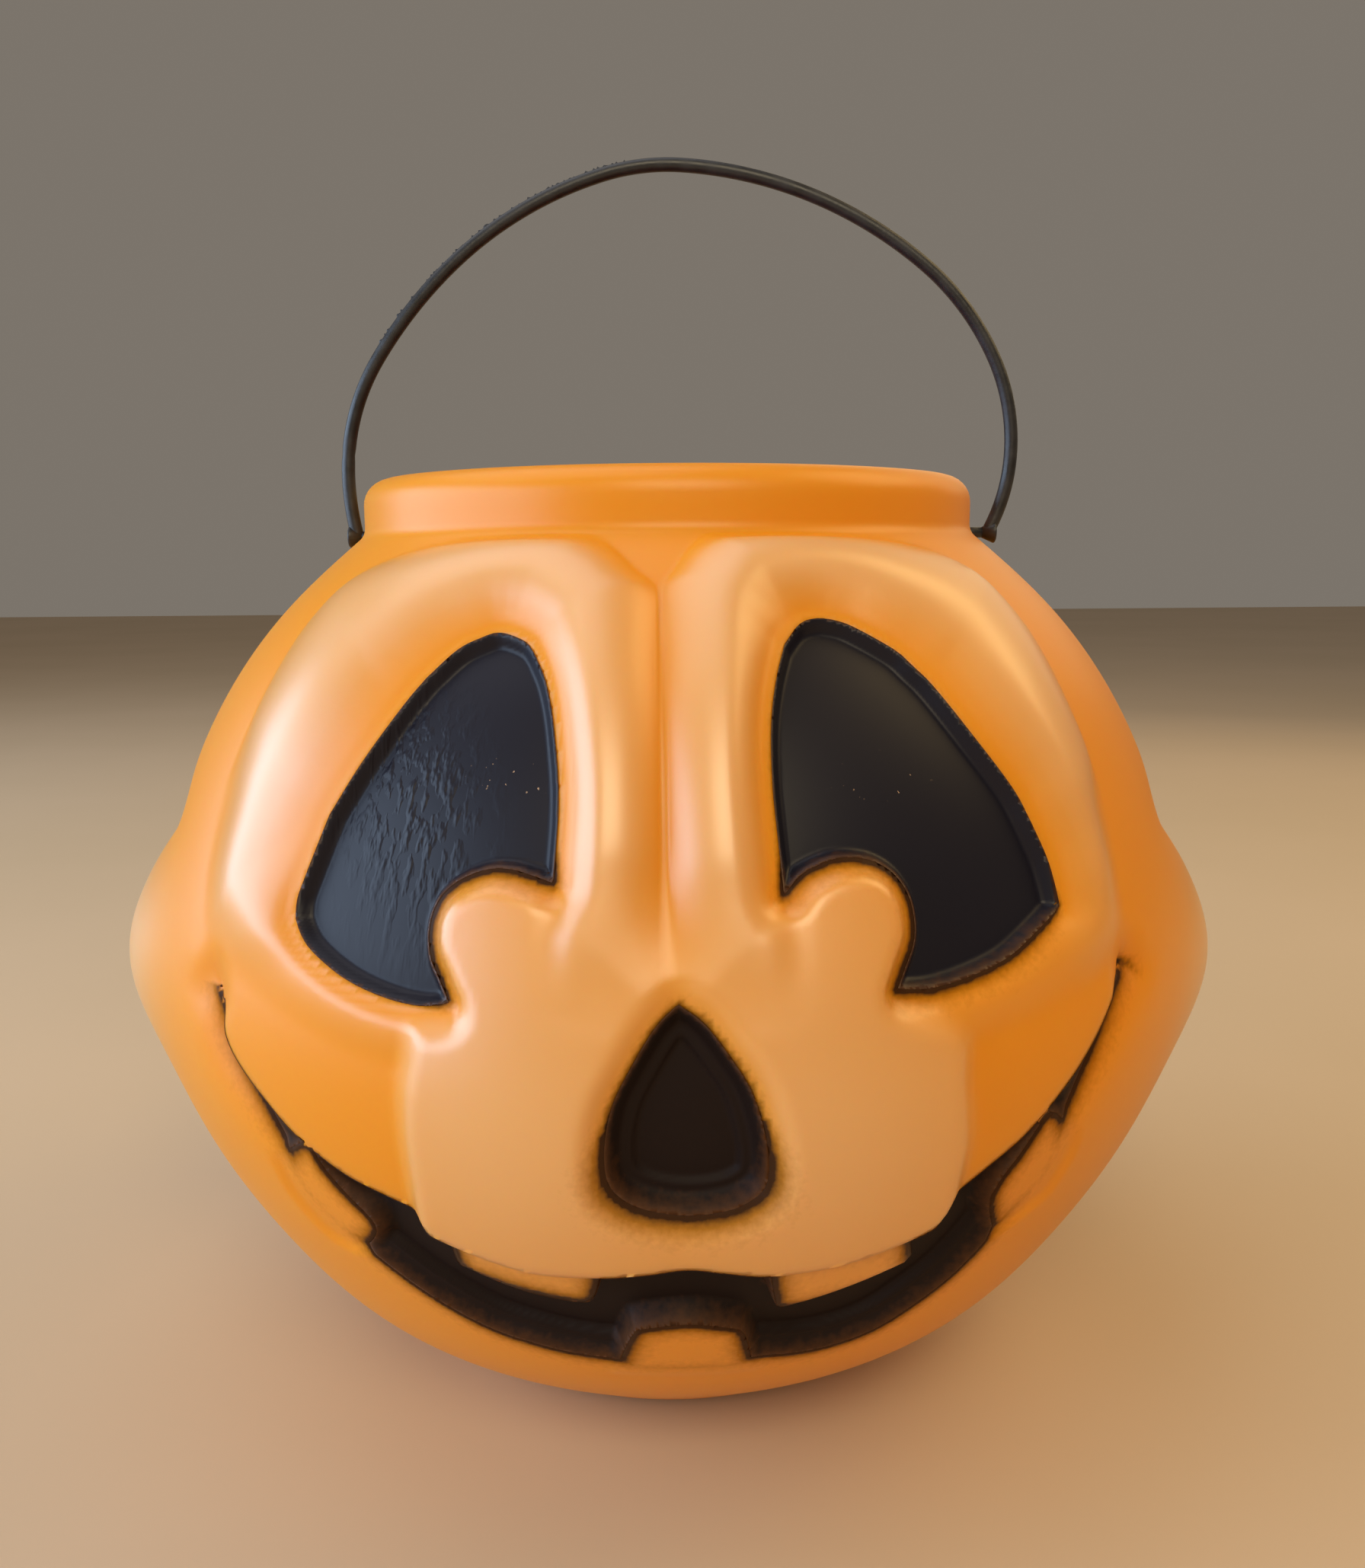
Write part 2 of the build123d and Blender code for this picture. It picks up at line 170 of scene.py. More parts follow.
CHIN = [(-75.7, 93.6), (-74.8, 90.3), (-73.1, 84.7), (-70.2, 80.0), (-66.5, 75.2), (-62.4, 69.6),
        (-57.0, 62.4), (-50.1, 53.6), (-47.2, 50.9), (-41.4, 46.0), (-35.4, 41.7), (-29.3, 38.3),
        (-23.1, 36.3), (-16.9, 34.8), (-8.9, 34.0), (1.6, 33.9), (12.2, 33.8), (20.5, 33.0),
        (26.9, 33.6), (33.4, 35.7), (39.6, 40.2), (45.6, 45.7), (51.1, 53.1), (56.6, 62.0),
        (61.4, 70.6), (65.6, 77.6), (69.8, 84.2), (73.2, 90.0), (76.0, 95.6)]
TEETH = {
    "upper_left": [(-33.5, 64.0), (-32.7, 57.2), (-31.4, 55.2), (-27.5, 53.6), (-21.7, 52.0),
                   (-15.8, 50.9), (-12.8, 51.1), (-11.6, 54.0), (-10.6, 60.0)],
    "upper_right": [(13.8, 60.0), (15.1, 50.6), (16.0, 48.7), (19.4, 48.0), (25.4, 48.6), (31.5, 49.7),
                    (35.6, 51.8), (36.5, 53.8), (35.0, 62.0)],
    "middle": [(-9.6, 30.0), (-8.4, 36.0), (-6.6, 41.4), (-5.0, 42.8), (2.2, 44.0), (9.0, 42.4),
               (10.8, 41.0), (12.0, 35.5), (13.0, 30.0)],
    "side_left": [(-61.3, 69.5), (-58.1, 71.3), (-55.3, 67.1), (-51.9, 63.2), (-48.3, 59.4),
                  (-47.6, 56.4), (-50.4, 52.3), (-56.0, 52.3), (-62.0, 59.1), (-64.4, 65.4)],
    "side_right": [(52.1, 53.2), (50.5, 60.1), (52.0, 64.7), (55.0, 68.6), (58.0, 72.9), (60.0, 75.0),
                   (62.9, 72.5), (65.4, 66.6), (61.8, 58.3)],
}
# Height of the lower teeth's faces over the plain pumpkin
TOOTH_LEVEL = {"middle": 0.2, "side_left": -0.7, "side_right": -0.7}
MUZZLE_EDGE = {"left": [(-32.3, 98.8), (-38.6, 96.9), (-41.1, 88.8), (-41.8, 82.7), (-41.5, 73.7),
                        (-40.5, 65.6), (-38.0, 55.0)],
               "right": [(32.8, 100.0), (44.2, 94.1), (45.6, 84.6), (46.2, 75.4), (45.0, 67.4),
                         (42.7, 62.0), (38.0, 52.0)]}
MUZZLE_TOP = [(13.0, 126.0), (0.0, 128.0), (-13.0, 127.0)]
MUZZLE_FOOT = [(0.0, 42.0)]
# Each puffed roll ends at the groove between the eyes, at the neck, beside the cheek and over the
# muzzle.
PAD = {
    "left": [(-0.3, 97.0), (-0.4, 107.0), (-0.9, 122.4), (-1.2, 143.2), (-1.5, 156.0), (-5.0, 160.0),
             (-9.0, 163.6), (-14.0, 166.2), (-24.0, 166.4), (-36.0, 165.2), (-48.0, 162.2),
             (-56.9, 157.8), (-64.0, 150.2), (-69.6, 139.7), (-73.8, 129.3), (-76.8, 120.5),
             (-78.5, 108.4), (-77.0, 99.5), (-68.0, 95.0), (-56.0, 91.0), (-46.0, 88.5),
             (-38.6, 88.5), (-30.0, 94.0), (-15.0, 97.0)],
    "right": [(-0.3, 97.0), (-0.4, 107.0), (-0.9, 122.4), (-1.2, 143.2), (-1.5, 156.0), (1.0, 160.4),
              (3.6, 163.8), (7.0, 166.2), (18.0, 166.6), (34.0, 165.4), (47.0, 162.4), (55.5, 157.8),
              (62.3, 149.6), (67.0, 139.0), (71.2, 126.0), (74.0, 112.0), (74.6, 100.0), (68.0, 94.5),
              (58.0, 92.0), (48.0, 90.0), (40.0, 89.5), (30.0, 94.0), (15.0, 97.0)],
}
# Short folds that run on from the right end of the smile and from the corners of the eyes
HOOK = [(76.0, 95.6), (78.0, 94.4), (80.6, 91.2)]
TUCK = {"left": [(-17.2, 117.0), (-16.0, 112.8), (-14.8, 109.4)],
        "right": [(16.4, 115.0), (14.8, 112.2), (12.9, 109.8)],
        "lid": [(-32.6, 98.8), (-31.0, 97.5), (-27.5, 96.7)]}
# How much farther than the nearest point of a line those that count may lie, in square mm
LINE_SPREAD, EYE_SPREAD = 0.1, 10.0
BATCH = 3000


class Line:
    """A line on the skin: the distance to it, and what it carries near its nearest point."""

    def __init__(self, xz, carries=None, spread=LINE_SPREAD):
        self.xz = np.asarray(xz, float)
        self.points = on_skin(self.xz)
        self.carries = carries
        self.spread = spread

    def near(self, points):
        """Distance to the line, what it carries there, and its nearest point."""
        a, b = self.points[:-1], self.points[1:]
        run = b - a
        squared = np.maximum((run ** 2).sum(1), 1e-12)
        best = np.empty(len(points))
        carried = None if self.carries is None else np.empty((len(points), self.carries.shape[1]))
        nearest = np.empty((len(points), 3))
        for low in range(0, len(points), BATCH):
            p = points[low:low + BATCH]
            u = np.clip(((p @ run.T) - (a * run).sum(1)) / squared, 0.0, 1.0)
            gap = ((p[:, None, 0] - a[:, 0] - u * run[:, 0]) ** 2
                   + (p[:, None, 1] - a[:, 1] - u * run[:, 1]) ** 2
                   + (p[:, None, 2] - a[:, 2] - u * run[:, 2]) ** 2)
            k = gap.argmin(1)
            rows = np.arange(len(p))
            best[low:low + len(p)] = np.sqrt(gap[rows, k])
            share = u[rows, k][:, None]
            nearest[low:low + len(p)] = a[k] + share * run[k]
            if carried is not None:
                weight = np.exp((gap[rows, k][:, None] - gap) / self.spread) * np.sqrt(squared)
                middle = 0.5 * (self.carries[:-1] + self.carries[1:])
                carried[low:low + len(p)] = (weight @ middle) / weight.sum(1, keepdims=True)
        return best, carried, nearest

    def inside(self, points):
        """Whether the line, closed, goes round each point in front view."""
        x, z = points[:, 0], points[:, 2]
        hit = np.zeros(len(points), bool)
        loop = np.vstack([self.xz, self.xz[:1]])
        for (x0, z0), (x1, z1) in zip(loop[:-1], loop[1:]):
            if z0 != z1:
                crosses = (z0 > z) != (z1 > z)
                hit ^= crosses & (x < (x1 - x0) * (z - z0) / (z1 - z0) + x0)
        return hit

    def signed(self, points):
        """Distance, negative inside, and what the line carries there."""
        gap, carried, _ = self.near(points)
        return np.where(self.inside(points), -gap, gap), carried


def blurred(values, reach):
    """Moving average along a closed line."""
    kernel = np.ones(2 * reach + 1) / (2 * reach + 1)
    wrapped = np.vstack([values[-reach - 1:-1], values, values[1:reach + 1]])
    return np.stack([np.convolve(column, kernel, "valid") for column in wrapped.T], 1)


def eye_line(runs):
    """An eye's edge; the inner roll fades out over the first ninth of the bite."""
    points, carried = [], []
    for zone, run in runs:
        sampled = through(run)[:-1]
        points.append(sampled)
        carries = np.tile(np.array(ROLL[zone]), (len(sampled), 1))
        if zone == "bite":
            carries[:, 0] = ROLL["inner"][0] * ease(1.0 - np.linspace(0.0, 9.0, len(sampled)))
        carried.append(carries)
    xz, carries = np.vstack(points), np.vstack(carried)
    xz, carries = np.vstack([xz, xz[:1]]), np.vstack([carries, carries[:1]])
    return Line(xz, blurred(carries, 2), EYE_SPREAD)


eye_lines = {name: eye_line(runs) for name, runs in EYES.items()}
nose_line = Line(through(NOSE))
lip_line, chin_line = Line(through(LIP)), Line(through(CHIN))
mouth_line = Line(np.vstack([lip_line.xz, chin_line.xz[::-1][1:]]))
tooth_lines = {name: Line(np.vstack([through(run), run[:1]])) for name, run in TEETH.items()}
pad_lines = {name: Line(through(run + run[:1])) for name, run in PAD.items()}
tuck_lines = [Line(through(run, 0.5)) for run in TUCK.values()]
hook_line = Line(through(HOOK, 0.5))
for line in [*tuck_lines, hook_line]:
    line.carries = np.linspace(1.0, 0.0, len(line.xz))[:, None]
bites = {name: through(dict(runs)["bite"]) for name, runs in EYES.items()}
muzzle_line = Line(np.vstack([
    bites["left"], through(MUZZLE_EDGE["left"])[1:], MUZZLE_FOOT,
    through(MUZZLE_EDGE["right"])[::-1][:-1], bites["right"][::-1], through(MUZZLE_TOP),
    bites["left"][:1],
]))

# Relief of the skin
CHEEKS = [(-77.0, 87.0, 5.6), (76.0, 85.5, 5.0)]  # angle, height, swell
CHEEK_DIP, DIP_ABOVE = 1.5, 27.0
FOLDS = [108.0, 144.0, 180.0, -144.0, -108.0]  # angles of the creases
FOLD_RADIUS = 14.0
FOLD_DEPTH = [(15.0, 0.0), (20.0, 0.55), (30.0, 1.0), (40.0, 1.0), (50.0, 1.3), (60.0, 1.85),
              (70.0, 2.35), (80.0, 2.55), (95.0, 2.1), (105.0, 1.5), (115.0, 1.2), (125.0, 1.25),
              (140.0, 1.35), (150.0, 0.93), (159.0, 0.0)]  # height, depth
ARC = BODY_R * math.radians(1.0)  # mm round the body per degree
EYE_EDGE, EYE_SINK, EYE_WALL, EYE_FOOT = -0.2, 2.2, 1.8, 3.4
NOSE_EDGE, NOSE_SINK, NOSE_WALL, NOSE_FOOT = 1.0, 2.8, 2.4, 4.0
TUCK_DEPTH, TUCK_WIDTH = 0.5, 1.3
HOOK_DEPTH, HOOK_WIDTH, HOOK_PAINT = 1.0, 1.8, 0.9
LIP_DROP, SMILE_DEPTH, SMILE_WIDTH = 0.4, 2.6, 6.5
FAR = 99.0


def relief(points, turn):
    """Height of the skin over the plain pumpkin, and the paint fields, at points on it.
    turn is the angle from the middle of the face, in degrees."""
    x, z = points[:, 0], points[:, 2]
    front = points[:, 1] < 0.0
    fields = {}

    # puffed muzzle under and between the eyes
    muzzle, _ = muzzle_line.signed(points)
    lobe_top = np.interp(np.abs(x), [13.0, 17.0, 21.0], [114.0, 119.5, 127.0])
    lobe = ease((np.abs(x) - 11.0) / 9.0) * ease((lobe_top - z) / 7.0)
    between = mix(ease((120.0 - z) / 26.0), 1.0, lobe)
    dome = np.maximum(bell(np.hypot(x + 21.0, z - 80.0), 26.0),
                      bell(np.hypot(x - 22.0, z - 80.0), 26.0))
    ramp = 4.6 + 1.6 * ease((102.0 - z) / 8.0) * ease((z - 62.0) / 10.0)
    height = (2.2 + 1.8 * dome) * ease(-muzzle / ramp) * between * front

    # cheeks at the ends of the smile, with a dip above them
    cheeks = np.zeros(len(points))
    for angle, level, swell in CHEEKS:
        across = (turn - angle) * ARC
        cheeks += swell * np.exp(-(across / 22.0) ** 2 - ((z - level) / 18.0) ** 2)
        cheeks -= CHEEK_DIP * np.exp(-(across / 15.0) ** 2 - ((z - level - DIP_ABOVE) / 7.0) ** 2)
    height += cheeks

    # creases down the back
    depth = np.interp(z, *np.array(FOLD_DEPTH).T)
    for angle in FOLDS:
        across = np.hypot(points[:, 0], points[:, 1]) * np.sin(np.radians(turn - angle))
        cut = depth - across ** 2 * (0.5 / FOLD_RADIUS - 0.5 / BODY_R)
        behind = np.cos(np.radians(turn - angle)) > 0.5
        height -= behind * 0.5 * (cut + np.sqrt(cut ** 2 + 0.04))

    # puffed rolls round the eyes, and the sunken eyes
    gaps, rolls = {}, np.zeros(len(points))
    for name in ("left", "right"):
        gap, carried = eye_lines[name].signed(points)
        rise, crest, fields[name + "_stray"], sharp, bitten = carried.T
        rise = rise * mix(1.0, ease((19.0 - np.abs(x)) / 6.0), ease(2.0 * bitten))
        room = np.maximum(-pad_lines[name].signed(points)[0], 0.0)
        share = np.maximum(gap, 0.0) / np.maximum(np.maximum(gap, 0.0) + room, 1e-6)
        outer = np.clip((share - crest) / (1.0 - crest), 0.0, 1.0)
        swell = np.where(share < crest, ease(share / crest),
                         1.0 - mix(ease(outer), outer ** 2, sharp))
        rolls = np.maximum(rolls, rise * swell * front)
        gaps[name] = gap
        fields[name] = np.where(front, gap, FAR)
    height = height + rolls * (1.0 - 0.8 * ease(-muzzle / 6.5) * between)
    for line in tuck_lines:
        gap, carried, _ = line.near(points)
        height -= TUCK_DEPTH * bell(gap, TUCK_WIDTH) * carried[:, 0] * front
    gap, carried, _ = hook_line.near(points)
    height -= HOOK_DEPTH * bell(gap, HOOK_WIDTH) * carried[:, 0] * front
    fields["hook"] = bell(gap, HOOK_PAINT) * carried[:, 0] * front
    for gap in gaps.values():
        outside_eye = mix(EYE_EDGE, height, ease(gap / EYE_FOOT))
        height = np.where(front & (gap > 0), outside_eye, height)
        height = np.where(front & (gap <= 0), EYE_EDGE - EYE_SINK * ease(-gap / EYE_WALL), height)

    # nose, with a second step inside it
    nose, _ = nose_line.signed(points)
    fields["nose"] = np.where(front, nose, FAR)
    sunk = NOSE_EDGE - NOSE_SINK * ease(-nose / NOSE_WALL) - 1.0 * ease((-nose - 3.4) / 0.9)
    outside_nose = mix(NOSE_EDGE, height, ease(nose / NOSE_FOOT))
    height = np.where(front, np.where(nose > 0, outside_nose, sunk), height)

    # mouth: the upper lip hangs over it, and its floor rises in a step to the lower lip
    lip, chin = lip_line.near(points)[0], chin_line.near(points)[0]
    mouth = mouth_line.inside(points) & front
    chin_side = np.where(np.minimum(lip, chin) < 2.0, chin < lip,
                         np.interp(x, *chin_line.xz.T) > z)
    below = front & ~mouth & chin_side
    tips = lip_line.points[[0, -1]]
    above = 1.0 - ease(np.linalg.norm(points[:, None] - tips, axis=2).min(1) / 9.0)
    valley = (-SMILE_DEPTH * ease((np.abs(x) - 44.0) / 10.0) * bell(lip, SMILE_WIDTH)
              * (1.0 - 0.4 * above))
    beyond = (x < tips[0, 0]) | (x > tips[1, 0])
    lower = np.where(beyond, ease(0.5 + (np.where(x < 0, *tips[:, 2]) - z) / 8.0), below)
    edge = height + valley * above - LIP_DROP
    height = np.where(front & ~mouth, height + valley * mix(lower, 1.0, above), height)
    height = np.where(front & ~mouth & ~below, height - LIP_DROP * (1.0 - ease(lip / 1.6)), height)
    floor = cheeks + valley - 2.0 * ease(chin / 3.0) - 1.7 * ease((chin - 3.4) / 0.8)
    slope = mix(edge, cheeks + valley, lip / np.maximum(lip + chin, 1e-6))
    floor = mix(mix(edge, floor, ease(lip / 1.2)), slope, ease((6.5 - lip - chin) / 2.0))
    height = np.where(mouth, floor, height)

    # teeth left standing in the mouth
    paint = np.where(mouth, -np.minimum(lip, chin), np.minimum(lip, chin))
    for name, line in tooth_lines.items():
        gap, _ = line.signed(points)
        if name.startswith("upper"):
            level = mix(edge, edge - 1.0, ease(lip / 0.8))
            where, early, wall = mouth, 0.0, 1.1
        else:
            level = cheeks + TOOTH_LEVEL[name]
            where, early, wall = mouth | below, 0.3, 2.6
        height = np.where(where, mix(level, height, ease((gap + early) / wall)), height)
        paint = np.maximum(paint, -gap)
    fields["mouth"] = np.where(front, paint, FAR)
    fields["lip"], fields["below"], fields["z"] = lip, below | mouth, z
    return height, fields


def steps(stops):
    """Values through stops (value, step to the next), closer where the step is small."""
    out = []
    for (low, step), (high, _) in zip(stops[:-1], stops[1:]):
        n = max(1, int(round((high - low) / step)))
        out.extend(np.linspace(low, high, n, endpoint=False))
    return np.array(out + [stops[-1][0]])


def free_edge(line):
    """The part of a tooth's outline that stands in the mouth."""
    loop = line.xz[:-1]
    stands = mouth_line.inside(on_skin(loop))
    first = np.flatnonzero(stands & ~np.roll(stands, 1))[0]
    return Line(np.roll(loop, -first, axis=0)[:int(np.argmin(np.roll(stands, -first)))])


EDGES = [*eye_lines.values(), nose_line, lip_line, chin_line,
         *map(free_edge, tooth_lines.values())]
PAINTED = ("left", "right", "nose", "mouth")
# How near an edge a point is drawn onto it, in mm, and how much farther the lip reaches
SKIN_SNAP, FILM_SNAP, LIP_HOLD = 0.45, 0.21, 1.45


class Surface:
    """The pumpkin's outside over a grid of angles, in degrees, and lengths up its side. Points
    within reach of an edge of the face are drawn onto it, so the edge is a clean line in the mesh."""

    def __init__(self, angles, lengths, reach):
        r, z, _, _ = on_side(lengths)
        a = np.radians(angles)
        self.shape = (len(lengths), len(angles))
        plain = np.stack([r[:, None] * np.sin(a), -r[:, None] * np.cos(a), z[:, None] + 0.0 * a], 2)
        plain = plain.reshape(-1, 3)
        facing = np.flatnonzero((plain[:, 1] < -15.0) & (plain[:, 2] > 28.0))
        closest = np.full(len(facing), reach)
        drawn = plain[facing]
        for line in EDGES:
            gap, _, place = line.near(plain[facing])
            gap = gap / LIP_HOLD if line is lip_line else gap
            nearer = gap < closest
            closest[nearer] = gap[nearer]
            drawn[nearer] = place[nearer]
        plain[facing] = drawn
        along = np.interp(plain[:, 2], side[:, 1], side_length)
        _, _, out_r, out_z = on_side(along)
        radius = np.hypot(plain[:, 0], plain[:, 1])
        normal = np.stack([out_r * plain[:, 0] / radius, out_r * plain[:, 1] / radius, out_z], 1)
        height, fields = relief(plain, np.degrees(np.arctan2(plain[:, 0], -plain[:, 1])))
        height = height * ease((side_total - along) / 7.0) * ease(along / 8.0)
        self.plain, self.normal = (v.reshape(*self.shape, 3) for v in (plain, normal))
        self.height = height.reshape(self.shape)
        self.fields = {k: v.reshape(self.shape) for k, v in fields.items()}

    def points(self, height):
        return self.plain + self.normal * height[:, :, None]


# Columns go once round from the left of the face, in degrees; rows go up the side, in mm
columns = steps([(-78.0, 0.55), (78.0, 1.5), (96.0, 2.1), (264.0, 1.5), (282.0, 0.0)])[:-1]
turns = np.where(columns > 180.0, columns - 360.0, columns)
face_low, face_high = (np.interp(v, side[:, 1], side_length) for v in (26.0, 163.0))
rows = steps([(0.0, 2.2), (face_low, 0.9), (face_high, 1.0), (side_total - 1.6, 1.0)])
ang = np.radians(columns)
sin_a, cos_a = np.sin(ang), -np.cos(ang)
outside = Surface(columns, rows, SKIN_SNAP)
height, fields = outside.height, outside.fields
paint_gap = np.min([fields[name] for name in PAINTED], axis=0)
# Under the paint the skin sinks a little, so that it can't show through the films
under_paint = 0.6 * ease((-paint_gap - 0.25) / 0.7)
under_mouth = 1.6 * ease(-fields["mouth"] / 0.6)
skin = outside.points(height - np.maximum(under_paint, under_mouth))


def ring(r, z):
    return np.stack([r * sin_a, r * cos_a, np.full(len(ang), z)], 1)


def corner(cr, cz, radius, start, stop, count):
    """Points of a round corner in the side view."""
    return [(cr + radius * math.cos(math.radians(a)), cz + radius * math.sin(math.radians(a)))
            for a in np.linspace(start, stop, count)]


NECK_FILLET, NECK_FOOT_Z = 3.0, 170.4
neck = corner(NECK_R + NECK_FILLET, SHOULDER_Z + 1.39, NECK_FILLET, 227, 180, 6)
neck += [(NECK_R, NECK_FOOT_Z)]
neck += corner(NECK_R - RIM_ROUND, RIM_Z - RIM_ROUND, RIM_ROUND, 0, 90, 9)
neck += [(OPENING_R + 0.8, RIM_Z)] + corner(OPENING_R + 0.6, RIM_Z - 0.6, 0.6, 90, 180, 4)[1:]
neck += corner(OPENING_R + 0.6, RIM_Z - 1.0, 0.5, 180, 270, 3)
neck += corner(NECK_R - RIM_ROUND, RIM_Z - RIM_ROUND, RIM_ROUND - WALL, 90, 0, 6)
neck += [(NECK_R - WALL, SHOULDER_Z + 0.6)]
inner_s = np.linspace(side_total - 3.0, 3.0, 20)
ir, iz, inr, inz = on_side(inner_s)
layers = [ring(r, z) for r, z in neck]
# The inner wall keeps clear of the sunken face and of the creases
by_folds = [0.75 * bell((turns - angle + 180.0) % 360.0 - 180.0, 7.5) for angle in FOLDS]
set_in = np.max([ease((88.0 - np.abs(turns)) / 20.0)] + by_folds, axis=0)
for k in range(len(inner_s)):
    deep = WALL + 0.2 + 4.0 * set_in * ease((iz[k] - 22.0) / 12.0) * ease((158.0 - iz[k]) / 12.0)
    radius = ir[k] - inr[k] * deep
    layers.append(np.stack([radius * sin_a, radius * cos_a, iz[k] - inz[k] * deep], 1))
layers += [ring(40.0, WALL), ring(20.0, WALL)]
base_rings = [ring(20.0, 0.0), ring(40.0, 0.0)]

grid = np.vstack([np.stack(base_rings), skin, np.stack(layers)])
skin_from = len(base_rings)
n_rows, n_cols = grid.shape[:2]
index = np.arange(n_rows * n_cols).reshape(n_rows, n_cols)
nxt = np.roll(index, -1, axis=1)
quads = np.stack([index[:-1], nxt[:-1], nxt[1:], index[1:]], 2).reshape(-1, 4)
verts = np.vstack([grid.reshape(-1, 3), [(0.0, 0.0, 0.0), (0.0, 0.0, WALL)]])
base_middle, floor_middle = len(verts) - 2, len(verts) - 1
faces = quads.tolist()
faces += [(int(b), int(a), base_middle) for a, b in zip(index[0], nxt[0])]
faces += [(int(a), int(b), floor_middle) for a, b in zip(index[-1], nxt[-1])]


def mesh_object(name, points, polygons, smooth=True):
    mesh = bpy.data.meshes.new(name)
    mesh.from_pydata((np.asarray(points) * MM).tolist(), [], polygons)
    mesh.validate()
    mesh.update()
    mesh.polygons.foreach_set("use_smooth", np.full(len(mesh.polygons), smooth))
    made = bpy.data.objects.new(name, mesh)
    bpy.context.scene.collection.objects.link(made)
    return made


def carry(made, name, values):
    """Store one number per point for the material."""
    attribute = made.data.attributes.new(name, "FLOAT", "POINT")
    attribute.data.foreach_set("value", np.asarray(values, np.float32))


def whole(values, other):
    """One number per point of the whole skin, from a field over its outside."""
    out = np.full((n_rows, n_cols), other, float)
    out[skin_from:skin_from + len(rows)] = values
    return np.concatenate([out.ravel(), [other, other]])


def strays(f):
    """How far past its edge each paint strays, from the fields of a surface."""
    fuzzy = f["below"] & (f["lip"] > 0.3)
    return {"left": f["left_stray"], "right": f["right_stray"],
            "nose": mix(1.7, 0.5, ease((f["z"] - 72.0) / 14.0)),
            "mouth": np.where(fuzzy, 1.7, 0.0)}


pail = mesh_object("pail_skin", verts, faces)
spray = 0.8 * fields["hook"]
for name, reach in strays(fields).items():
    fades = np.exp(-np.maximum(fields[name], 0.0) / np.maximum(reach, 0.02))
    spray = np.maximum(spray, ease(reach / 0.9) * fades)
carry(pail, "spray", whole(spray, 0.0))
# The relief's height, from which the material paints sheen on the crests and shade in the hollows
carry(pail, "raised", whole(height, 0.0))


# Paint films: how far they stand over and reach under the skin, in mm
FILM_OVER, FILM_UNDER = 0.12, 0.2
FILM_TURN, FILM_UP = 0.26, 0.46  # steps of a film's grid, in degrees and in mm
WORN_AT = (-40.0, 124.0)
FLECKS = [(-20.5, 129.5), (-26.0, 130.0), (29.5, 129.0), (35.0, 128.0)]


def film(name, key, turn_span, up_span):
    """Closed film over the part of the face where the field of this key is negative, cut along its
    edge. Where the paint strays past its edge, it is thin inside the edge too."""
    low, high = (np.interp(v, side[:, 1], side_length) for v in up_span)
    ground = Surface(steps([(turn_span[0], FILM_TURN), (turn_span[1], 0.0)]),
                     steps([(low, FILM_UP), (high, 0.0)]), FILM_SNAP)
    surface, skin_normal, field = ground.points(ground.height), ground.normal, ground.fields[key]
    stray = strays(ground.fields)[key]
    thinned = np.exp(np.minimum(field, 0.0) / np.maximum(stray, 0.02))
    over = FILM_OVER * (1.0 - 0.85 * thinned * ease((stray - 0.6) / 0.5))
    wet = field < 0
    inside_cells = np.argwhere(wet[:-1, :-1] | wet[1:, :-1] | wet[:-1, 1:] | wet[1:, 1:])
    points, lifts, tops, thin, lookup, polygons = [], [], [], [], {}, []

    def vertex(a, b):
        """Number of the grid point a, or of the place where the edge crosses from a to b."""
        pair = (a, b) if a <= b else (b, a)
        if pair not in lookup:
            lookup[pair] = len(points)
            if a == b:
                p, n, h, d = (v[a] for v in (surface, skin_normal, over, thinned))
            else:
                t = field[a] / (field[a] - field[b])
                p, n, h, d = (mix(v[a], v[b], t) for v in (surface, skin_normal, over, thinned))
            points.append(p)
            lifts.append(n)
            tops.append(h)
            thin.append(d)
        return lookup[pair]

    for i, j in inside_cells.tolist():
        ring_of = [(i, j), (i, j + 1), (i + 1, j + 1), (i + 1, j)]
        polygon = []
        for a, b in zip(ring_of, ring_of[1:] + ring_of[:1]):
            if wet[a]:
                polygon.append(vertex(a, a))
            if wet[a] != wet[b]:
                polygon.append(vertex(a, b))
        if len(polygon) >= 3:
            polygons.append(polygon)
    count = len(points)
    p, n = np.array(points), np.array(lifts)
    edges = {}
    for polygon in polygons:
        edges.update(dict.fromkeys(zip(polygon, polygon[1:] + polygon[:1])))
    rim = [(a, b) for a, b in edges if (b, a) not in edges]
    both = polygons + [[v + count for v in reversed(polygon)] for polygon in polygons]
    both += [[b, a, a + count, b + count] for a, b in rim]
    made = mesh_object(name, np.vstack([p + n * np.array(tops)[:, None], p - n * FILM_UNDER]), both)
    carry(made, "thin", np.concatenate([thin, thin]))
    worn = bell(p[:, 0] - WORN_AT[0], 9.0) * bell(p[:, 2] - WORN_AT[1], 14.0)
    carry(made, "worn", np.concatenate([worn, worn]))
    flecked = sum(bell(p[:, 0] - x, 3.0) * bell(p[:, 2] - z, 2.0) for x, z in FLECKS)
    carry(made, "flecked", np.concatenate([flecked, flecked]))
    return made


films = {
    "left_eye_paint": film("paint_left_eye", "left", (-42.0, -8.0), (95.0, 153.0)),
    "right_eye_paint": film("paint_right_eye", "right", (7.0, 44.0), (97.0, 155.0)),
    "nose_paint": film("paint_nose", "nose", (-7.0, 9.0), (66.0, 102.0)),
    "mouth_paint": film("paint_mouth", "mouth", (-50.0, 50.0), (30.5, 99.0)),
}


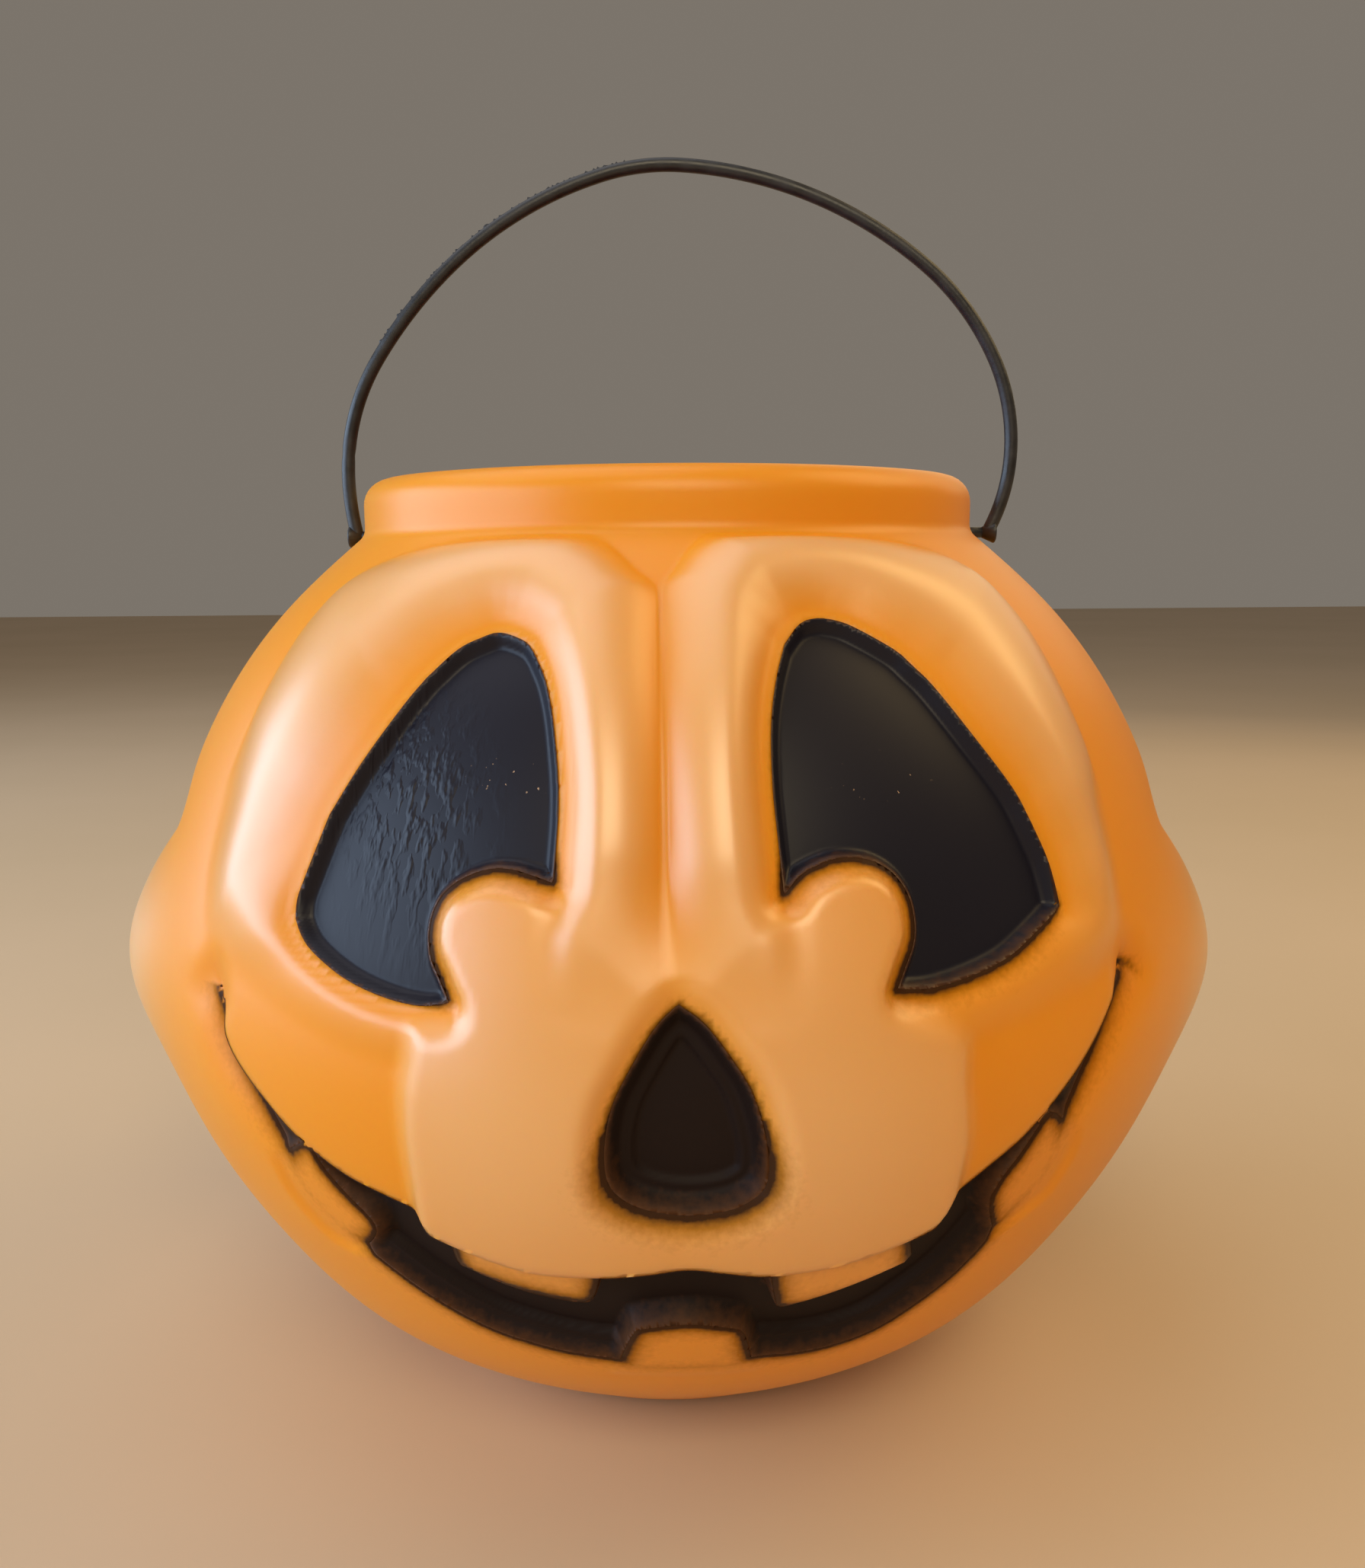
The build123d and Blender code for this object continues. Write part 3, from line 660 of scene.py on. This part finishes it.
# Bail: radii of its rod and pins, its pivots, and its arch as shares of the half span and rise
ROD, PIN = 1.35, 1.1
PIVOT_Z, HALF_SPAN, RISE = SHOULDER_Z, 68.0, 72.0
LEFT_END, RIGHT_END = (-63.8, 166.2), (65.8, 166.2)
BAIL = [(-0.96, 0.165), (-0.859, 0.488), (-0.627, 0.744), (-0.178, 0.978), (0.047, 1.001),
        (0.765, 0.737), (0.978, 0.484), (1.034, 0.19)]
# Half outlines, as (distance along the axis, radius), and where the snap heads begin
COLLAR = [(0.0, PIN), (2.3, 2.15), (2.55, 2.2), (2.75, 2.0), (2.85, 1.3)]
SNAP_HEAD = [(0.0, 1.3), (0.05, 2.0), (0.3, 2.1), (2.0, 1.4), (2.2, PIN)]
HEAD_X = 59.1


def tangent_arc(start, end, along, spacing=1.5):
    """Points of the arc from start to end that leaves start along a direction, and its direction at
    the end."""
    s, e = np.array(start, float), np.array(end, float)
    d = np.array(along, float) / np.linalg.norm(along)
    chord = e - s
    length = np.linalg.norm(chord)
    half = math.atan2(d[0] * chord[1] - d[1] * chord[0], d @ chord)
    n = max(3, int(length / spacing))
    shares = np.linspace(0.0, 1.0, n + 1)[:, None]
    if abs(half) < 1e-6:
        return s + chord * shares, d
    radius = length / (2.0 * math.sin(half))
    swept = 2.0 * half * shares[:, 0]
    left = np.array([-d[1], d[0]])
    points = s + radius * (np.sin(swept)[:, None] * d + (1 - np.cos(swept))[:, None] * left)
    c, q = math.cos(2 * half), math.sin(2 * half)
    return points, np.array([c * d[0] - q * d[1], q * d[0] + c * d[1]])


joints = [np.array([a * HALF_SPAN, PIVOT_Z + b * RISE]) for a, b in BAIL]
foot, _ = tangent_arc(joints[0], LEFT_END, (0, -1))
path = [foot[::-1]]
along = np.array([0.0, 1.0])
for start, end in zip(joints, joints[1:] + [np.array(RIGHT_END)]):
    arc, along = tangent_arc(start, end, along)
    path.append(arc[1:])
path = np.vstack(path)
bail_length = np.concatenate([[0.0], np.cumsum(np.linalg.norm(np.diff(path, axis=0), axis=1))])


def tube(path2, radii, sides):
    """Round rod along a line in the plane y = 0, with closed ends."""
    d = np.gradient(path2, axis=0)
    d /= np.linalg.norm(d, axis=1, keepdims=True)
    out = np.stack([-d[:, 1], d[:, 0]], 1)
    a = np.linspace(0, 2 * math.pi, sides, endpoint=False)
    radii = np.broadcast_to(radii, (len(path2),))
    x = path2[:, None, 0] + radii[:, None] * np.cos(a) * out[:, None, 0]
    z = path2[:, None, 1] + radii[:, None] * np.cos(a) * out[:, None, 1]
    y = radii[:, None] * np.sin(a) + 0 * x
    pts = np.stack([x, y, z], 2)
    k = np.arange(pts.shape[0] * sides).reshape(-1, sides)
    kn = np.roll(k, -1, axis=1)
    polys = np.stack([k[:-1], k[1:], kn[1:], kn[:-1]], 2).reshape(-1, 4).tolist()
    polys += [k[0].tolist(), k[-1][::-1].tolist()]
    return pts.reshape(-1, 3), polys


bail_points, bail_faces = [], []


def join_to_bail(points, polygons):
    start = sum(len(p) for p in bail_points)
    bail_points.append(points)
    bail_faces.extend([[v + start for v in polygon] for polygon in polygons])


groove = bell(bail_length - 17.0, 0.5) * -0.12
join_to_bail(*tube(path, ROD + groove, 20))


def lathed(origin, axis, outline, sides=24):
    """Lathe a half outline (distance along the axis, radius) about an axis through origin."""
    w = np.array(axis, float) / np.linalg.norm(axis)
    u = np.array([0.0, 1.0, 0.0])
    v = np.cross(w, u)
    a = np.linspace(0, 2 * math.pi, sides, endpoint=False)
    pts = [np.array(origin) + h * w + r * (np.cos(a)[:, None] * u + np.sin(a)[:, None] * v)
           for h, r in outline]
    pts = np.vstack(pts)
    k = np.arange(len(pts)).reshape(-1, sides)
    kn = np.roll(k, -1, axis=1)
    polys = np.stack([k[:-1], kn[:-1], kn[1:], k[1:]], 2).reshape(-1, 4).tolist()
    polys += [k[0][::-1].tolist(), k[-1].tolist()]
    return pts, polys


for end, outward in ((LEFT_END, -1), (RIGHT_END, 1)):
    reach = abs(end[0]) - HEAD_X
    for start, way, outline in ((end[0] - outward * 0.9, outward, COLLAR),
                                (end[0], -outward, [(0.0, PIN), (reach, PIN)]),
                                (end[0] - outward * reach, -outward, SNAP_HEAD)):
        join_to_bail(*lathed((start, 0.0, PIVOT_Z), (way, 0, 0), outline))


def flash():
    """Ragged strip of moulding flash that stands on the outside of the rod, at its upper left."""
    rng = np.random.default_rng(7)
    some = np.flatnonzero((path[:, 0] > -57.0) & (path[:, 0] < -7.0) & (path[:, 1] > 200.0))
    line = np.stack([np.interp(np.linspace(some[0], some[-1], 150), np.arange(len(path)), path[:, i])
                     for i in (0, 1)], 1)
    d = np.gradient(line, axis=0)
    d /= np.linalg.norm(d, axis=1, keepdims=True)
    out = np.stack([-d[:, 1], d[:, 0]], 1)
    tall = ROD - 0.15 + 0.55 * rng.uniform(0.0, 1.0, len(line)) ** 2
    points = [(*(line[i] + out[i] * r), y) for i in range(len(line)) for r, y in
              ((ROD - 0.4, -0.12), (tall[i], -0.05), (tall[i], 0.05), (ROD - 0.4, 0.12))]
    pts = np.array(points)[:, [0, 2, 1]]
    k = np.arange(len(pts)).reshape(-1, 4)
    kn = np.roll(k, -1, axis=1)
    polys = np.stack([k[:-1], kn[:-1], kn[1:], k[1:]], 2).reshape(-1, 4).tolist()
    return pts, polys + [k[0][::-1].tolist(), k[-1].tolist()]


join_to_bail(*flash())
bail = mesh_object("bail_rod", np.vstack(bail_points), bail_faces)


class Nodes:
    """Short hand for building a node material."""

    def __init__(self, name):
        self.material = bpy.data.materials.new(name)
        self.material.use_nodes = True
        self.tree = self.material.node_tree
        self.shader = self.tree.nodes["Principled BSDF"]

    def add(self, kind, **settings):
        node = self.tree.nodes.new(kind)
        for key, value in settings.items():
            setattr(node, key, value)
        return node

    def link(self, a, b):
        self.tree.links.new(a, b)

    def value(self, name):
        return self.add("ShaderNodeAttribute", attribute_name=name).outputs["Fac"]

    def noise(self, scale, detail=3.0, rough=0.55, stretch=(1, 1, 1)):
        place = self.add("ShaderNodeTexCoord").outputs["Object"]
        mapping = self.add("ShaderNodeMapping")
        mapping.inputs["Scale"].default_value = stretch
        self.link(place, mapping.inputs["Vector"])
        node = self.add("ShaderNodeTexNoise")
        node.inputs["Scale"].default_value = scale
        node.inputs["Detail"].default_value = detail
        node.inputs["Roughness"].default_value = rough
        self.link(mapping.outputs["Vector"], node.inputs["Vector"])
        return node.outputs["Fac"]

    def ramp(self, source, stops):
        node = self.add("ShaderNodeValToRGB")
        ramp = node.color_ramp
        while len(ramp.elements) < len(stops):
            ramp.elements.new(0.5)
        for element, (place, colour) in zip(ramp.elements, stops):
            element.position = place
            element.color = (*colour, 1.0)
        self.link(source, node.inputs["Fac"])
        return node.outputs["Color"]

    def range(self, source, low, high, to_low=0.0, to_high=1.0):
        node = self.add("ShaderNodeMapRange")
        for key, number in (("From Min", low), ("From Max", high),
                            ("To Min", to_low), ("To Max", to_high)):
            node.inputs[key].default_value = number
        self.link(source, node.inputs["Value"])
        return node.outputs["Result"]

    def maths(self, operation, a, b):
        node = self.add("ShaderNodeMath", operation=operation)
        for socket, item in zip(node.inputs, (a, b)):
            self.link(item, socket)
        return node.outputs["Value"]

    def blend(self, share, a, b):
        node = self.add("ShaderNodeMix", data_type="RGBA")
        self.link(share, node.inputs["Factor"])
        for key, item in (("A", a), ("B", b)):
            socket = next(s for s in node.inputs if s.name == key and s.type == "RGBA")
            if isinstance(item, tuple):
                socket.default_value = (*item, 1.0)
            else:
                self.link(item, socket)
        return next(s for s in node.outputs if s.type == "RGBA")

    def bump(self, source, strength, distance):
        node = self.add("ShaderNodeBump")
        node.inputs["Strength"].default_value = strength
        node.inputs["Distance"].default_value = distance
        self.link(source, node.inputs["Height"])
        self.link(node.outputs["Normal"], self.shader.inputs["Normal"])


def orange_plastic():
    m = Nodes("orange_polyethylene")
    raised = m.range(m.value("raised"), -3.0, 4.0)
    # Painted sheen and shade: the skin is a paler, bluer orange on raised parts, standing in for light
    # caught on the crests, and a deeper orange in the hollows, standing in for shade
    sheen_and_shade_colour = m.ramp(raised, [(0.0, (0.72, 0.215, 0.001)), (0.43, (0.79, 0.275, 0.003)),
                                  (0.72, (0.77, 0.310, 0.026)), (1.0, (0.77, 0.385, 0.120))])
    cloudy = m.range(m.noise(38.0, 4.0), 0.35, 0.75, 0.0, 0.08)
    sheen_and_shade_colour = m.blend(cloudy, sheen_and_shade_colour, (0.76, 0.35, 0.06))
    speckle = m.range(m.noise(900.0, 2.0), 0.3, 0.7, -0.04, 0.04)
    sprayed = m.range(m.maths("ADD", m.value("spray"), speckle), 0.04, 0.65)
    colour = m.blend(sprayed, sheen_and_shade_colour, (0.045, 0.017, 0.006))
    m.link(colour, m.shader.inputs["Base Color"])
    m.shader.inputs["Roughness"].default_value = 0.40
    bare = m.range(sprayed, 0.0, 0.5, 1.0, 0.12)
    for socket, low, high in (("Specular IOR Level", 0.35, 1.0), ("Coat Weight", 0.12, 0.6)):
        gloss = m.maths("MULTIPLY", bare, m.range(raised, 0.42, 0.75, low, high))
        m.link(gloss, m.shader.inputs[socket])
    m.shader.inputs["IOR"].default_value = 1.52
    m.shader.inputs["Coat Roughness"].default_value = 0.3
    m.shader.inputs["Coat IOR"].default_value = 1.5
    m.shader.inputs["Subsurface Weight"].default_value = 0.3
    m.shader.inputs["Subsurface Radius"].default_value = (0.006, 0.002, 0.0004)
    m.shader.inputs["Subsurface Scale"].default_value = 1.0
    m.bump(m.noise(520.0, 3.0), 0.08, 0.0003)
    return m.material


def black_paint(name, black, roughness, gloss):
    m = Nodes(name)
    speckle = m.range(m.noise(700.0, 3.0), 0.3, 0.7, -0.15, 0.15)
    thin = m.range(m.maths("ADD", m.value("thin"), speckle), 0.3, 1.1)
    colour = m.blend(thin, black, (0.085, 0.030, 0.008))
    bare = m.maths("MULTIPLY", m.range(m.noise(1300.0, 1.0), 0.735, 0.76), m.value("flecked"))
    m.link(m.blend(bare, colour, (0.55, 0.36, 0.22)), m.shader.inputs["Base Color"])
    m.shader.inputs["Roughness"].default_value = roughness
    m.shader.inputs["Specular IOR Level"].default_value = gloss
    wrinkles = m.range(m.noise(130.0, 2.0, 0.5, (4.6, 4.6, 0.8)), 0.48, 0.72)
    m.bump(m.maths("MULTIPLY", wrinkles, m.value("worn")), 0.35, 0.0010)
    return m.material


def black_plastic():
    m = Nodes("satin_black_plastic")
    worn = m.noise(260.0, 3.0)
    colour = m.ramp(worn, [(0.3, (0.010, 0.010, 0.012)), (0.75, (0.022, 0.022, 0.026))])
    m.link(colour, m.shader.inputs["Base Color"])
    m.link(m.range(worn, 0.3, 0.7, 0.34, 0.48), m.shader.inputs["Roughness"])
    m.bump(m.noise(900.0, 2.0), 0.2, 0.0002)
    return m.material


def pale_floor():
    m = Nodes("pale_floor")
    m.link(m.ramp(m.noise(3.0), [(0.3, (0.56, 0.42, 0.27)), (0.7, (0.60, 0.45, 0.30))]),
           m.shader.inputs["Base Color"])
    m.shader.inputs["Roughness"].default_value = 0.6
    return m.material


pail.data.materials.append(orange_plastic())
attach(pail, "pail")
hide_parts("pail_shell")
eye_paint = black_paint("sprayed_black_paint", (0.006, 0.005, 0.012), 0.41, 0.28)
mouth_paint = black_paint("sprayed_brown_black_paint", (0.010, 0.004, 0.003), 0.62, 0.18)
for node, made in films.items():
    made.data.materials.append(eye_paint if "eye" in node else mouth_paint)
    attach(made, "pail")
    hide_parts(node)
bail.data.materials.append(black_plastic())
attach(bail, "bail")
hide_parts("bail_handle")

for node, made in {"pail_shell": pail, "bail_handle": bail, **films}.items():
    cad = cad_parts[node]
    cad.data.materials.clear()
    cad.data.materials.append(made.data.materials[0])


# Floor, lights and camera
FLOOR = 4000
corners = [(x * FLOOR, y * FLOOR, 0) for x, y in ((-1, -1), (1, -1), (1, 1), (-1, 1))]
floor = mesh_object("floor", corners, [[0, 1, 2, 3]], smooth=False)
floor.data.materials.append(pale_floor())

bpy.context.scene.view_settings.view_transform = "Standard"
world = bpy.data.worlds.new("studio")
bpy.context.scene.world = world
world.use_nodes = True
background = world.node_tree.nodes["Background"]
background.inputs["Color"].default_value = (1.0, 0.88, 0.74, 1.0)
background.inputs["Strength"].default_value = 0.20


def area(name, place, aim, size, power, colour):
    data = bpy.data.lights.new(name, "AREA")
    data.shape, data.energy, data.color = "RECTANGLE", power, colour
    data.size, data.size_y = size
    lamp = bpy.data.objects.new(name, data)
    bpy.context.scene.collection.objects.link(lamp)
    lamp.location = place
    lamp.rotation_mode = "QUATERNION"
    lamp.rotation_quaternion = (Vector(aim) - Vector(place)).to_track_quat("-Z", "Y")


CENTRE = (0.0, 0.0, 0.09)
area("window", (-1.15, -0.22, 0.38), CENTRE, (1.7, 0.8), 16.8, (0.66, 0.87, 1.16))
area("ceiling", (-0.40, 0.10, 1.25), CENTRE, (1.1, 1.1), 4.4, (0.95, 0.97, 1.05))
area("front", (0.10, -1.40, 1.10), CENTRE, (1.0, 0.8), 14.5, (1.0, 0.84, 0.56))
area("room", (0.85, 0.10, 0.95), CENTRE, (0.7, 0.7), 4.6, (1.0, 0.72, 0.32))
area("behind", (0.5, 0.8, 0.6), CENTRE, (0.8, 0.6), 1.2, (1.0, 0.80, 0.50))

# The photograph's camera: place, aim and roll as fitted to the outlines
YAW, PITCH, ROLL_ANGLE = math.radians(0.52), math.radians(9.32), math.radians(-0.44)
SENSOR, FOCAL_PIXELS, PHOTO_PIXELS = 36.0, 1800.0, 1792.0
right = Vector((math.cos(YAW), -math.sin(YAW), 0.0))
ahead = Vector((math.sin(YAW) * math.cos(PITCH), math.cos(YAW) * math.cos(PITCH), -math.sin(PITCH)))
up = right.cross(ahead)
rolled_right = math.cos(ROLL_ANGLE) * right + math.sin(ROLL_ANGLE) * up
rolled_up = -math.sin(ROLL_ANGLE) * right + math.cos(ROLL_ANGLE) * up
lens = bpy.data.cameras.new("camera")
lens.sensor_fit = "HORIZONTAL"
lens.sensor_width = SENSOR
lens.lens = SENSOR * FOCAL_PIXELS / PHOTO_PIXELS
lens.clip_start = 0.01
camera = bpy.data.objects.new("camera", lens)
bpy.context.scene.collection.objects.link(camera)
place = Matrix((rolled_right, rolled_up, -ahead)).transposed().to_4x4()
place.translation = Vector((0.0, -0.288, 0.1618))
camera.matrix_world = place
bpy.context.scene.camera = camera
